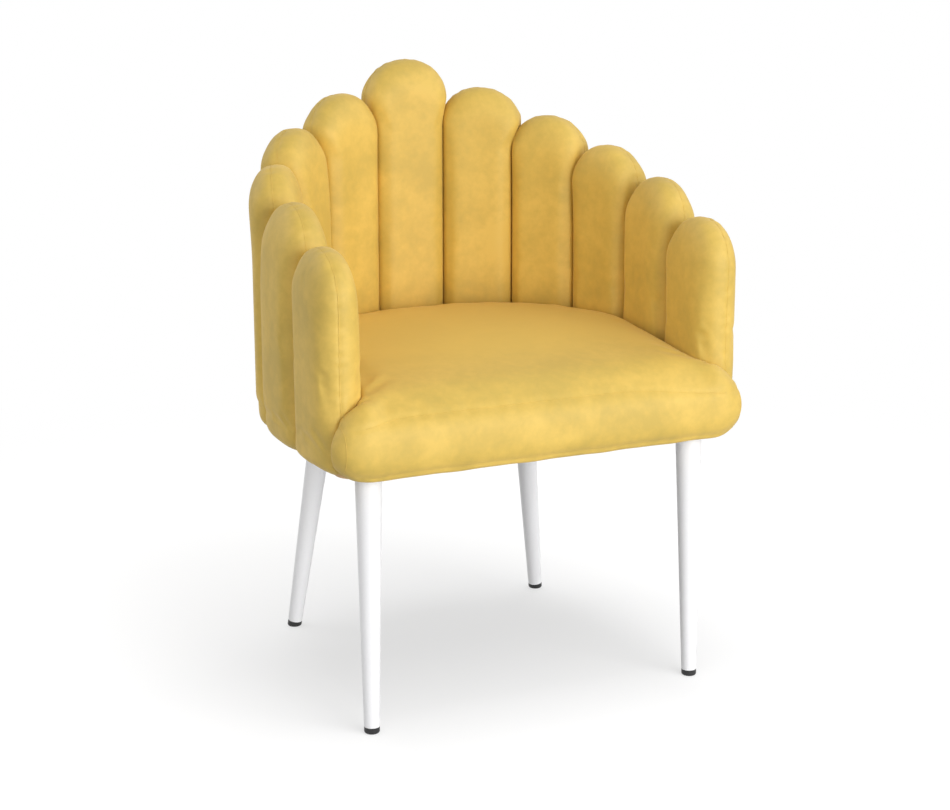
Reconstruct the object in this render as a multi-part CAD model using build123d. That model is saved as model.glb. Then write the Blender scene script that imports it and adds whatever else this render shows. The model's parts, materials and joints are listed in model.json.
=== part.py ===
from build123d import *
import os
from math import asin, cos, pi, sin, sqrt

# Velvet armchair with a back of upright rounded petals, on four tapered steel legs.
# Millimetres, +Z up, the chair faces -Y, origin on the floor under the middle of the chair.

# overall
OVERALL_DEPTH = 544.0
OVERALL_WIDTH = 626.0

# petals, from the middle of the back to the front of the arm; they share the line in these proportions
PETAL_TOPS = (850.0, 806.0, 766.0, 729.0, 694.0, 655.0)
PETAL_WIDTHS = (113.0, 110.0, 105.0, 107.0, 119.0, 125.0)
PETAL_THICKNESS = 67.0
PETAL_BULGES = (0.0, 0.0, 8.0, 8.0, 0.0, 0.0)
PETAL_EDGE_ROUND = 20.0
PETAL_CROWN = 5.0
PETAL_CROWN_SPAN = 0.35
PETAL_CORNER_ROUND = 26.0
PETAL_DROP = 25.0
PETAL_ROLL_UNDER = 20.0

# seat
SEAT_CROWN_HEIGHT = 492.0
SEAT_CROWN_RADIUS = 2200.0
SEAT_CROWN_SETBACK = 70.0
SEAT_DROP = 7.0
NOSE_DEPTH = 42.3
NOSE_SIDE_INSET = 8.0
NOSE_TOP_ROUND = 75.0
NOSE_BOTTOM_ROUND = 26.0
NOSE_CORNER_ROUND = 24.0
NOSE_END_DROP = 41.0
NOSE_END_ROUND = 40.0
NOSE_END_SLOPE = 34.0

# covers and fits
VELVET = 1.6
SEWN_GAP = 1.2
FOAM_GAP = 0.4
FIT = 0.2

# seat board, rail and staves
BOARD_BOTTOM = 365.0
BOARD_THICKNESS = 15.0
BOARD_FRONT_SETBACK = 28.0
BOARD_OUTSIDE_STAVE = 4.5
BOARD_CORNER_ROUND = 24.0
STAVE_THICKNESS = 12.0
STAVE_SIDE_FOAM = 19.0
STAVE_TOP_FOAM = 34.0
STAVE_CORNER = 2.0
RAIL_THICKNESS = 22.0
RAIL_HEIGHT = 55.0
RAIL_FRONT_SETBACK = 22.0
DUST_COVER = 0.6
DUST_COVER_MARGIN = 12.0

# legs: insets of their tops from the edge of the seat board, and how far the feet stand out from the tops
FRONT_LEG_INSET = 49.1
FRONT_SPLAY_OUT = 4.7
FRONT_SPLAY_FORWARD = 12.2
BACK_LEG_INSET = 28.1
BACK_LEG_ANGLE = 38.15
BACK_SPLAY_OUT = 44.3
BACK_SPLAY_BACK = 36.0
LEG_FOOT_DIAMETER = 21.4
LEG_TOP_DIAMETER = 36.6
LEG_WALL = 1.5
FOOT_CAP_HEIGHT = 9.0
FOOT_CAP_ROUND = 3.0
FOOT_PLUG_LENGTH = 16.0
PLATE_THICKNESS = 3.0
PLATE_WIDTH = 42.0
PLATE_LENGTH = 92.0
PLATE_LIP = 1.5
PLATE_CORNER = 8.0
PLATE_NOSE_GAP = 0.4

# fasteners
BOLT_DIAMETER = 6.0
BOLT_HEAD_DIAMETER = 10.5
BOLT_HEAD_HEIGHT = 3.3
BOLT_LENGTH = 16.0
BOLT_FIRST_ROW = 34.0
BOLT_ROW_PITCH = 26.0
BOLT_SPREAD = 26.0
BOLT_HOLE_CLEARANCE = 0.6
TEE_NUT_BARREL = 8.0
TEE_NUT_BARREL_LENGTH = 10.0
TEE_NUT_FLANGE = 18.0
TEE_NUT_FLANGE_THICKNESS = 1.4
THREAD_CLEARANCE = 0.1
SCREW_DIAMETER = 4.0
SCREW_HEAD_DIAMETER = 8.0
SCREW_HEAD_HEIGHT = 2.2
SCREW_RECESS = 0.6
STAVE_SCREW_LENGTH = 28.0
STAVE_SCREW_SPACING = 26.0
RAIL_SCREW_LENGTH = 40.0

# values that follow from the sizes above
PATH_RADIUS = (OVERALL_WIDTH - PETAL_THICKNESS) / 2
PATH_CENTRE_Y = (OVERALL_DEPTH - PETAL_THICKNESS) / 2 - PATH_RADIUS
QUARTER = PATH_RADIUS * pi / 2
NOSE_FRONT = -OVERALL_DEPTH / 2
NOSE_BACK = NOSE_FRONT + NOSE_DEPTH
NOSE_WIDTH = OVERALL_WIDTH - 2 * NOSE_SIDE_INSET
NOSE_END_HEIGHT = SEAT_CROWN_HEIGHT - NOSE_END_DROP
ARM_FRONT = NOSE_BACK + SEWN_GAP
PETAL_LINE = QUARTER + PATH_CENTRE_Y - ARM_FRONT
PETAL_SHARE = PETAL_LINE / (PETAL_WIDTHS[0] / 2 + sum(PETAL_WIDTHS[1:]))
LINE_WIDTHS = [width * PETAL_SHARE for width in PETAL_WIDTHS]
PETAL_BOTTOM = BOARD_BOTTOM - PETAL_DROP
SEAT_BOTTOM = BOARD_BOTTOM - SEAT_DROP
SEAT_EDGE = -PETAL_THICKNESS / 2 - SEWN_GAP
BOARD_TOP = BOARD_BOTTOM + BOARD_THICKNESS
BOARD_FRONT = NOSE_FRONT + BOARD_FRONT_SETBACK
STAVE_INSIDE = -STAVE_THICKNESS / 2
STAVE_OUTSIDE = STAVE_THICKNESS / 2
BOARD_EDGE = STAVE_OUTSIDE + BOARD_OUTSIDE_STAVE
RAIL_OUTSIDE = STAVE_INSIDE - FIT
RAIL_INSIDE = RAIL_OUTSIDE - RAIL_THICKNESS
RAIL_BOTTOM = BOARD_TOP + FIT
RAIL_TOP = RAIL_BOTTOM + RAIL_HEIGHT
RAIL_FRONT = ARM_FRONT + RAIL_FRONT_SETBACK
PLATE_TOP = BOARD_BOTTOM - DUST_COVER
PLATE_BOTTOM = PLATE_TOP - PLATE_THICKNESS
FRONT_TOP = (PATH_RADIUS + BOARD_EDGE - FRONT_LEG_INSET, NOSE_BACK + PLATE_NOSE_GAP + PLATE_WIDTH / 2)
FRONT_FOOT = (FRONT_TOP[0] + FRONT_SPLAY_OUT, FRONT_TOP[1] - FRONT_SPLAY_FORWARD)
BACK_REACH = PATH_RADIUS + BOARD_EDGE - BACK_LEG_INSET
BACK_TURN = BACK_LEG_ANGLE * pi / 180
BACK_TOP = (BACK_REACH * sin(BACK_TURN), PATH_CENTRE_Y + BACK_REACH * cos(BACK_TURN))
BACK_FOOT = (BACK_TOP[0] + BACK_SPLAY_OUT, BACK_TOP[1] + BACK_SPLAY_BACK)
FOAM_INSET = VELVET + FOAM_GAP
BEYOND = 60.0
FAR = 1000.0


def station(s):
    """Point, tangent and outward direction on the petals' middle line, s along it from the back."""
    if abs(s) <= QUARTER:
        turn = s / PATH_RADIUS
        point = Vector(PATH_RADIUS * sin(turn), PATH_CENTRE_Y + PATH_RADIUS * cos(turn), 0)
        return point, Vector(cos(turn), -sin(turn), 0), Vector(sin(turn), cos(turn), 0)
    side = 1 if s > 0 else -1
    point = Vector(side * PATH_RADIUS, PATH_CENTRE_Y - (abs(s) - QUARTER), 0)
    return point, Vector(0, -side, 0), Vector(side, 0, 0)


def petal_stations(index):
    """Start, middle and end of one petal along the middle line."""
    if index == 0:
        return -LINE_WIDTHS[0] / 2, 0.0, LINE_WIDTHS[0] / 2
    start = LINE_WIDTHS[0] / 2 + sum(LINE_WIDTHS[1:index])
    return start, start + LINE_WIDTHS[index] / 2, start + LINE_WIDTHS[index]


def boundary(index, s, depth):
    """Sideways place of the dividing plane at station s, at a depth from the petal's middle line."""
    point, along, out = station(petal_stations(index)[1])
    edge, _, edge_out = station(s)
    offset = edge - point
    reach = (depth - offset.dot(out)) / edge_out.dot(out)
    return offset.dot(along) + reach * edge_out.dot(along)


def upright_outline(left, right, bottom, top, corner):
    """Closed outline with a round top and rounded lower corners, x sideways and y up."""
    middle = (left + right) / 2
    half = (right - left) / 2
    spring = top - half
    k = half * sqrt(0.5)
    c = corner * (1 - sqrt(0.5))
    edges = [
        Line((left, bottom + corner), (left, spring)),
        ThreePointArc((left, spring), (middle - k, spring + k), (middle, top)),
        ThreePointArc((middle, top), (middle + k, spring + k), (right, spring)),
        Line((right, spring), (right, bottom + corner)),
        ThreePointArc((right, bottom + corner), (right - c, bottom + c), (right - corner, bottom)),
        Line((right - corner, bottom), (left + corner, bottom)),
        ThreePointArc((left + corner, bottom), (left + c, bottom + c), (left, bottom + corner)),
    ]
    return Face(Wire(edges))


def petal_sections(thickness, inset):
    """Depth, drawing-in at the rim and share of the face gathered into the crown, inside face first."""
    half = thickness / 2 - inset
    rim = PETAL_EDGE_ROUND - inset
    sections = [(half, rim, PETAL_CROWN_SPAN)]
    for turn in (pi / 18, pi / 6, pi / 3, pi / 2):
        sections.append((half - PETAL_CROWN - rim * (1 - cos(turn)), rim * (1 - sin(turn)), 0))
    inside = [(-depth, drawn, share) for depth, drawn, share in sections]
    return inside + [(0, 0, 0)] + list(reversed(sections))


def petal_body(index, inset):
    """Rounded petal between its two dividing planes, drawn in by inset all round."""
    start, middle, end = petal_stations(index)
    point, along, out = station(middle)
    thickness = PETAL_THICKNESS + PETAL_BULGES[index]
    outlines = []
    for depth, drawn, share in petal_sections(thickness, inset):
        lift = PETAL_ROLL_UNDER * (depth / thickness + 1 / 2)
        depth += PETAL_BULGES[index] / 2
        plane = Plane(origin=point + out * depth, x_dir=along, z_dir=out * -1)
        left = boundary(index, start, depth) + SEWN_GAP / 2
        right = boundary(index, end, depth) - SEWN_GAP / 2
        taken = inset + drawn
        taken += share * ((right - left) / 2 - taken)
        corner = PETAL_CORNER_ROUND * (1 - 2 * taken / (right - left))
        outline = upright_outline(
            left + taken, right - taken, PETAL_BOTTOM + lift + taken, PETAL_TOPS[index] - taken, corner
        )
        outlines.append(plane * outline)
    return loft(outlines)


def u_block(offset, front, bottom, top):
    """Upright block on the petals' middle line moved outwards by offset, cut straight at the front."""
    r = PATH_RADIUS + offset
    k = r * sqrt(0.5)
    outline = [
        Line((r, front), (r, PATH_CENTRE_Y)),
        ThreePointArc((r, PATH_CENTRE_Y), (k, PATH_CENTRE_Y + k), (0, PATH_CENTRE_Y + r)),
        ThreePointArc((0, PATH_CENTRE_Y + r), (-k, PATH_CENTRE_Y + k), (-r, PATH_CENTRE_Y)),
        Line((-r, PATH_CENTRE_Y), (-r, front)),
        Line((-r, front), (r, front)),
    ]
    return Pos(0, 0, bottom) * extrude(Face(Wire(outline)), amount=top - bottom, dir=(0, 0, 1))


def round_front_corners(block, radius):
    """The block with its two front upright edges rounded."""
    return fillet(block.edges().filter_by(Axis.Z).group_by(Axis.Y)[0], radius)


def u_band(inside, outside, front, bottom, top):
    """Upright band between two offsets of the petals' middle line."""
    hollow = u_block(inside, front - BEYOND, bottom - BEYOND, top + BEYOND)
    return u_block(outside, front, bottom, top) - hollow


def on_circle(centre, radius, angle):
    """Point of a circle at an angle."""
    return centre[0] + radius * cos(angle), centre[1] + radius * sin(angle)


def seat_side_prism(inset):
    """Side outline of the seat, through the whole width: rolled front edge running into the crown."""
    front = NOSE_FRONT + inset
    low = SEAT_BOTTOM + inset
    under = NOSE_BOTTOM_ROUND - inset
    over = NOSE_TOP_ROUND - inset
    reach = SEAT_CROWN_RADIUS - NOSE_TOP_ROUND
    run = SEAT_CROWN_SETBACK - (NOSE_FRONT + NOSE_TOP_ROUND)
    roll = (NOSE_FRONT + NOSE_TOP_ROUND, SEAT_CROWN_HEIGHT - SEAT_CROWN_RADIUS + sqrt(reach**2 - run**2))
    meets = pi / 2 + asin(run / reach)
    leaves = on_circle(roll, over, meets)
    crown = (SEAT_CROWN_SETBACK, SEAT_CROWN_HEIGHT - SEAT_CROWN_RADIUS)
    radius = SEAT_CROWN_RADIUS - inset
    behind = OVERALL_DEPTH / 2 + BEYOND - SEAT_CROWN_SETBACK
    far = on_circle(crown, radius, pi / 2 - asin(behind / radius))
    outline = [
        ThreePointArc((front, roll[1]), on_circle(roll, over, (pi + meets) / 2), leaves),
        ThreePointArc(leaves, on_circle(crown, radius, pi / 2), far),
        Line(far, (far[0], low)),
        Line((far[0], low), (front + under, low)),
        ThreePointArc(
            (front + under, low),
            on_circle((front + under, low + under), under, 5 * pi / 4),
            (front, low + under),
        ),
        Line((front, low + under), (front, roll[1])),
    ]
    return extrude(Plane.YZ * Face(Wire(outline)), amount=NOSE_WIDTH, both=True)


def seat_end_prism(inset):
    """Front outline of the seat, through the whole depth: rounded ends of the nose."""
    low = SEAT_BOTTOM + inset
    end = NOSE_WIDTH / 2 - inset
    under = NOSE_BOTTOM_ROUND - inset
    over = NOSE_END_ROUND - inset
    slope = NOSE_END_SLOPE * pi / 180
    turn = (NOSE_WIDTH / 2 - NOSE_END_ROUND, NOSE_END_HEIGHT - NOSE_END_ROUND)
    leaves = on_circle(turn, over, pi / 2 - slope)
    bend = on_circle(turn, over, pi / 4 - slope / 2)
    below = on_circle((end - under, low + under), under, -pi / 4)
    peak = (0, leaves[1] + leaves[0] * sin(slope) / cos(slope))
    outline = []
    for side in (1, -1):
        outline.append(Line((side * end, low + under), (side * end, turn[1])))
        outline.append(
            ThreePointArc((side * end, turn[1]), (side * bend[0], bend[1]), (side * leaves[0], leaves[1]))
        )
        outline.append(Line((side * leaves[0], leaves[1]), peak))
        outline.append(
            ThreePointArc((side * end, low + under), (side * below[0], below[1]), (side * (end - under), low))
        )
    outline.append(Line((end - under, low), (under - end, low)))
    return extrude(Plane.XZ * Face(Wire(outline)), amount=OVERALL_DEPTH, both=True)


def seat_body(inset):
    """Crowned seat with its full-width nose, drawn in by inset all round."""
    low = SEAT_BOTTOM + inset
    high = SEAT_CROWN_HEIGHT + BEYOND
    pad = u_block(SEAT_EDGE - inset, NOSE_FRONT + NOSE_TOP_ROUND / 2, BOARD_TOP + FIT, high)
    nose = Pos(0, (NOSE_BACK + NOSE_FRONT) / 2, (low + high) / 2) * Box(
        NOSE_WIDTH - 2 * inset, NOSE_BACK - NOSE_FRONT - 2 * inset, high - low
    )
    nose = round_front_corners(nose, NOSE_CORNER_ROUND - inset) & seat_end_prism(inset)
    return (pad + nose) & seat_side_prism(inset)


def stave_prism(index, grow):
    """Upright prism through one petal that cuts its stave out of the band of staves."""
    start, middle, end = petal_stations(index)
    point, along, out = station(middle)
    depth = -PETAL_THICKNESS / 2
    plane = Plane(origin=point + out * depth, x_dir=along, z_dir=out * -1)
    outline = upright_outline(
        boundary(index, start, depth) + STAVE_SIDE_FOAM - grow,
        boundary(index, end, depth) - STAVE_SIDE_FOAM + grow,
        RAIL_BOTTOM - grow,
        PETAL_TOPS[index] - STAVE_TOP_FOAM + grow,
        STAVE_CORNER,
    )
    return extrude(plane * outline, amount=PETAL_THICKNESS, dir=out)


def screw(length, play=0.0):
    """Countersunk screw, head face sunk below the origin, shank towards -Z."""
    head = Pos(0, 0, -SCREW_RECESS - SCREW_HEAD_HEIGHT / 2) * Cone(
        SCREW_DIAMETER / 2 + play, SCREW_HEAD_DIAMETER / 2 + play, SCREW_HEAD_HEIGHT
    )
    return head + Pos(0, 0, -SCREW_RECESS - length / 2) * Cylinder(SCREW_DIAMETER / 2 + play, length)


def screw_hole(length):
    """Room for a screw, open above its head."""
    mouth = Cylinder(SCREW_HEAD_DIAMETER / 2 + THREAD_CLEARANCE, 2 * SCREW_RECESS)
    return screw(length, THREAD_CLEARANCE) + mouth


def upright(point, z, direction):
    """Place at a plan point and height whose -Z runs along direction."""
    return Plane(origin=(point.X, point.Y, z), z_dir=direction * -1).location


def both_sides(shape):
    """A right-hand piece and its mirror image."""
    return {"right": shape, "left": mirror(shape, about=Plane.YZ)}


nodes = {}

# screw places
stave_screw_places = []
rail_screw_places = []
screw_levels = [
    RAIL_BOTTOM + RAIL_HEIGHT / 2 - STAVE_SCREW_SPACING / 2,
    RAIL_BOTTOM + RAIL_HEIGHT / 2 + STAVE_SCREW_SPACING / 2,
]
for index in range(len(PETAL_TOPS)):
    start, middle, end = petal_stations(index)
    for s in sorted({middle, -middle}):
        point, _, out = station(s)
        for level in screw_levels:
            stave_screw_places.append(upright(point + out * STAVE_OUTSIDE, level, out * -1))
    if index > 0:
        for s in (start, -start):
            point, _, out = station(s)
            rail_screw_places.append(
                upright(point + out * ((RAIL_INSIDE + RAIL_OUTSIDE) / 2), BOARD_BOTTOM, Vector(0, 0, 1))
            )
stave_screw_holes = Compound(children=[p * screw_hole(STAVE_SCREW_LENGTH) for p in stave_screw_places])
rail_screw_holes = Compound(children=[p * screw_hole(RAIL_SCREW_LENGTH) for p in rail_screw_places])
nodes["petal_screws"] = Compound(children=[p * screw(STAVE_SCREW_LENGTH) for p in stave_screw_places])
nodes["rail_screws"] = Compound(children=[p * screw(RAIL_SCREW_LENGTH) for p in rail_screw_places])

# staves, foam and cover of every petal
stave_band = u_band(STAVE_INSIDE, STAVE_OUTSIDE, ARM_FRONT, BOARD_TOP, max(PETAL_TOPS)) - stave_screw_holes
stave_slot = u_band(STAVE_INSIDE - FIT, STAVE_OUTSIDE + FIT, ARM_FRONT - BEYOND, 0, max(PETAL_TOPS) + BEYOND)
open_low = u_block(STAVE_INSIDE - FIT, ARM_FRONT - BEYOND, 0, RAIL_TOP + FIT)
open_low += u_block(BOARD_EDGE + FIT, ARM_FRONT - BEYOND, 0, BOARD_TOP + FIT)
for index in range(len(PETAL_TOPS)):
    cover = petal_body(index, 0) - petal_body(index, VELVET) - open_low
    foam = petal_body(index, FOAM_INSET) - open_low - (stave_slot & stave_prism(index, FIT))
    stave = stave_band & stave_prism(index, 0)
    for kind, piece in (("cover", cover), ("foam", foam), ("board", stave)):
        if index == 0:
            nodes[f"petal_{kind}_centre"] = piece
            continue
        for side, shape in both_sides(piece).items():
            nodes[f"petal_{kind}_{side}_{index}"] = shape

# rail
rail = u_band(RAIL_INSIDE, RAIL_OUTSIDE, RAIL_FRONT, RAIL_BOTTOM, RAIL_TOP)
nodes["back_rail"] = rail - stave_screw_holes - rail_screw_holes

# legs, plates and feet
bolt_places = []
for end, foot_at, top_at, aim_y in (
    ("front", FRONT_FOOT, FRONT_TOP, FRONT_TOP[1]),
    ("back", BACK_FOOT, BACK_TOP, PATH_CENTRE_Y),
):
    foot_point = Vector(foot_at[0], foot_at[1], 0)
    top_point = Vector(top_at[0], top_at[1], PLATE_BOTTOM)
    axis = top_point - foot_point
    length = axis.length
    place = Plane(origin=foot_point, z_dir=axis.normalized()).location
    foot_r = LEG_FOOT_DIAMETER / 2
    grow = (LEG_TOP_DIAMETER / 2 - foot_r) / (length - FOOT_CAP_HEIGHT)
    tube_length = length - FOOT_CAP_HEIGHT + BEYOND
    tube_r = foot_r + grow * tube_length
    above = Pos(0, 0, PLATE_BOTTOM + FAR / 2) * Box(FAR, FAR, FAR)
    tube = Cone(foot_r, tube_r, tube_length) - Cone(foot_r - LEG_WALL, tube_r - LEG_WALL, tube_length)
    leg = place * Pos(0, 0, FOOT_CAP_HEIGHT + tube_length / 2) * tube - above

    cap = Cylinder(foot_r, 2 * (FOOT_CAP_HEIGHT - FIT))
    plug_r = foot_r - LEG_WALL - FIT
    plug = Pos(0, 0, FOOT_CAP_HEIGHT + FOOT_PLUG_LENGTH / 2 - FIT) * Cylinder(plug_r, FOOT_PLUG_LENGTH)
    foot = place * (cap + plug) - Pos(0, 0, -FAR / 2) * Box(FAR, FAR, FAR)
    foot = fillet(foot.faces().sort_by(Axis.Z)[0].edges(), FOOT_CAP_ROUND)

    inward = Vector(-top_at[0], aim_y - top_at[1], 0).normalized()
    outer_end = LEG_TOP_DIAMETER / 2 + PLATE_LIP
    plate_plane = Plane(origin=(top_at[0], top_at[1], PLATE_BOTTOM), x_dir=inward, z_dir=(0, 0, 1))
    blank = Pos(PLATE_LENGTH / 2 - outer_end, 0) * RectangleRounded(PLATE_LENGTH, PLATE_WIDTH, PLATE_CORNER)
    plate = extrude(plate_plane * blank, amount=PLATE_THICKNESS, dir=(0, 0, 1))
    for row in (0, 1):
        for side in (1, -1):
            local = Pos(BOLT_FIRST_ROW + row * BOLT_ROW_PITCH, side * BOLT_SPREAD / 2, 0)
            place_here = plate_plane.location * local
            hole = Cylinder(BOLT_DIAMETER / 2 + BOLT_HOLE_CLEARANCE / 2, 4 * PLATE_THICKNESS)
            plate -= place_here * hole
            bolt_places.append(place_here.position)
    for side, shape in both_sides(leg).items():
        nodes[f"leg_{end}_{side}"] = shape
    for side, shape in both_sides(foot).items():
        nodes[f"foot_{end}_{side}"] = shape
    for side, shape in both_sides(plate).items():
        nodes[f"leg_plate_{end}_{side}"] = shape
bolt_places += [Vector(-p.X, p.Y, p.Z) for p in bolt_places]

# bolts and tee nuts
bolt = Pos(0, 0, -BOLT_HEAD_HEIGHT / 2) * Cylinder(BOLT_HEAD_DIAMETER / 2, BOLT_HEAD_HEIGHT)
bolt += Pos(0, 0, BOLT_LENGTH / 2) * Cylinder(BOLT_DIAMETER / 2, BOLT_LENGTH)
nut = Pos(0, 0, -TEE_NUT_FLANGE_THICKNESS / 2) * Cylinder(TEE_NUT_FLANGE / 2, TEE_NUT_FLANGE_THICKNESS)
nut += Pos(0, 0, -TEE_NUT_BARREL_LENGTH / 2) * Cylinder(TEE_NUT_BARREL / 2, TEE_NUT_BARREL_LENGTH)
nut -= Cylinder(BOLT_DIAMETER / 2 + THREAD_CLEARANCE, 4 * TEE_NUT_BARREL_LENGTH)
nut_seat = Pos(0, 0, -TEE_NUT_FLANGE_THICKNESS / 2) * Cylinder(
    TEE_NUT_FLANGE / 2 + FIT, TEE_NUT_FLANGE_THICKNESS
)
nut_seat += Cylinder(TEE_NUT_BARREL / 2 + FIT, 4 * BOARD_THICKNESS)
nodes["leg_bolts"] = Compound(children=[Pos(p) * bolt for p in bolt_places])
nodes["tee_nuts"] = Compound(children=[Pos(p.X, p.Y, BOARD_TOP) * nut for p in bolt_places])

# seat board and dust cover
board = u_block(BOARD_EDGE, BOARD_FRONT, BOARD_BOTTOM, BOARD_TOP)
board = round_front_corners(board, BOARD_CORNER_ROUND) - rail_screw_holes
dust = u_block(BOARD_EDGE - DUST_COVER_MARGIN, NOSE_BACK + FIT, PLATE_TOP, BOARD_BOTTOM)
dust = round_front_corners(dust, BOARD_CORNER_ROUND)
for p in bolt_places:
    board -= Pos(p.X, p.Y, BOARD_TOP) * nut_seat
    dust -= Pos(p.X, p.Y, PLATE_TOP) * Cylinder(BOLT_DIAMETER / 2 + BOLT_HOLE_CLEARANCE / 2, BOARD_THICKNESS)
nodes["seat_board"] = board
nodes["dust_cover"] = dust

# seat foam and cover
board_zone = u_block(BOARD_EDGE + FIT, BOARD_FRONT - FIT, BOARD_BOTTOM - FIT, BOARD_TOP + FIT)
nodes["seat_cover"] = seat_body(0) - seat_body(VELVET) - board_zone
nodes["seat_foam"] = seat_body(FOAM_INSET) - board_zone

os.makedirs("parts", exist_ok=True)
for name, shape in nodes.items():
    export_step(shape, f"parts/{name}.step")
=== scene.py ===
"""Velvet armchair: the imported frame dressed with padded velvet, powder-coated legs and soft studio light."""
import json
import logging
import math
from collections.abc import Callable
from dataclasses import dataclass
from enum import Enum

import bmesh
import bpy
import numpy as np
from mathutils import Matrix, Vector
from mathutils.bvhtree import BVHTree


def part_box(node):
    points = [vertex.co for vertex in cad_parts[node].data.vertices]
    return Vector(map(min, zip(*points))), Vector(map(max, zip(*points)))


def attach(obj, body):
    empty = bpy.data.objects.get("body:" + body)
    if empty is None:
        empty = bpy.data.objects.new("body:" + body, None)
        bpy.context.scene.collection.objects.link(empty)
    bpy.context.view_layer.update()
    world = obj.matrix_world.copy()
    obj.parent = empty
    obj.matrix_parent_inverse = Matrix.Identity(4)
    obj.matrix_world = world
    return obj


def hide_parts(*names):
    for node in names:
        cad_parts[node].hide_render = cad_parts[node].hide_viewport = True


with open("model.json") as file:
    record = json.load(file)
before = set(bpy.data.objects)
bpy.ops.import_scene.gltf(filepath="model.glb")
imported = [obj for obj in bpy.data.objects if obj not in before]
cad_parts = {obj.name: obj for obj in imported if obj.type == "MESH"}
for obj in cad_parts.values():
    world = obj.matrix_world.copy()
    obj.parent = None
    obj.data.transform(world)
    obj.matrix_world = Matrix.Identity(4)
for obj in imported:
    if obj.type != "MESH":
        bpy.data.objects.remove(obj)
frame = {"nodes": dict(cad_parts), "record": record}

LOG = logging.getLogger("armchair")
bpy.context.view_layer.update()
BODY = "root"
# point attribute that marks where the seat's top panel is painted lighter and fuller: painted light for pile
# brushed one way
NAP_PAINTED_LIGHT = "nap"
LAST_PETAL = 5
ARM_COVER = f"petal_cover_right_{LAST_PETAL}"
MM = 0.001
# metres within which two places are the same
TINY = 1e-4
# share of a normal that points along an axis, from which its face counts as facing that way
FACING = 0.9
WHITE = (1.0, 1.0, 1.0, 1.0)
Pair = tuple[float, float]
Triple = tuple[float, float, float]
Colour = tuple[float, float, float, float]
PerPetal = tuple[float, ...]
Piece = bpy.types.Object
Tree = bpy.types.NodeTree
Node = bpy.types.Node
Socket = bpy.types.NodeSocket
Material = bpy.types.Material


class Reach(Enum):
    """What a studio lamp shines on."""

    CHAIR = "EXCLUDE"
    FLOOR = "INCLUDE"


class Side(Enum):
    """Which half of the chair a piece stands on, as seen from the front."""

    LEFT = -1
    RIGHT = 1

    @property
    def word(self) -> str:
        """The side's name in the nodes."""
        return self.name.lower()


def linear(code: str) -> Colour:
    """Turns an sRGB hex colour into linear red, green, blue and alpha.

    Args:
        code: colour such as "#D9AE45".

    Returns:
        Linear RGBA with alpha 1.
    """
    parts = [int(code[i : i + 2], 16) / 255 for i in (1, 3, 5)]
    bent = [p / 12.92 if p <= 0.04045 else ((p + 0.055) / 1.055) ** 2.4 for p in parts]
    return (*bent, 1.0)


def per_metre(size_mm: float) -> float:
    """Texture scale whose pattern repeats about every size_mm millimetres."""
    return 1000.0 / size_mm


def add_node(tree: Tree, kind: str, settings: dict | None = None, inputs: dict | None = None) -> Node:
    """Adds a node with its settings, socket values and links.

    Args:
        tree: node tree that takes the node.
        kind: node type name.
        settings: node properties by name.
        inputs: socket values by name or index; an output socket is linked.

    Returns:
        The new node.
    """
    node = tree.nodes.new(kind)
    for name, value in (settings or {}).items():
        setattr(node, name, value)
    for name, value in (inputs or {}).items():
        socket = node.inputs[name]
        if isinstance(value, Socket):
            tree.links.new(value, socket)
        else:
            socket.default_value = value
    return node


def new_material(name: str) -> tuple[Material, Tree, Socket]:
    """Starts a node material.

    Args:
        name: the material's name.

    Returns:
        The material, its emptied tree and the Object coordinate socket.
    """
    material = bpy.data.materials.new(name)
    material.use_nodes = True
    tree = material.node_tree
    tree.nodes.clear()
    place = add_node(tree, "ShaderNodeTexCoord").outputs["Object"]
    return material, tree, place


def finish_material(tree: Tree, shader: Node) -> None:
    """Links a shader node to the material's output."""
    add_node(tree, "ShaderNodeOutputMaterial", inputs={"Surface": shader.outputs[0]})


def add_noise(tree: Tree, place: Socket, size_mm: float, **settings: float) -> Socket:
    """Adds a noise pattern of a real size.

    Args:
        tree: node tree that takes it.
        place: coordinates.
        size_mm: size of one patch.
        settings: further socket values by name.

    Returns:
        The pattern's value.
    """
    inputs = {"Vector": place, "Scale": per_metre(size_mm), **settings}
    return add_node(tree, "ShaderNodeTexNoise", inputs=inputs).outputs["Fac"]


def add_mix(tree: Tree, kind: str, share: object, first: object, second: object) -> Socket:
    """Adds a mix of two values or colours.

    Args:
        tree: node tree that takes it.
        kind: "FLOAT" or "RGBA".
        share: how much of the second is taken.
        first: value or socket at share 0.
        second: value or socket at share 1.

    Returns:
        The mixture.
    """
    inputs = {"Factor": share, "A": first, "B": second}
    return add_node(tree, "ShaderNodeMix", {"data_type": kind}, inputs).outputs["Result"]


def add_relief(tree: Tree, height: Socket, depth_mm: float, strength: float) -> Socket:
    """Adds the fine relief of a surface.

    Args:
        tree: node tree that takes it.
        height: pattern that raises the surface.
        depth_mm: real depth of the relief.
        strength: share of it that shows.

    Returns:
        The surface's normal.
    """
    inputs = {"Strength": strength, "Distance": depth_mm * MM, "Height": height}
    return add_node(tree, "ShaderNodeBump", inputs=inputs).outputs["Normal"]


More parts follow.
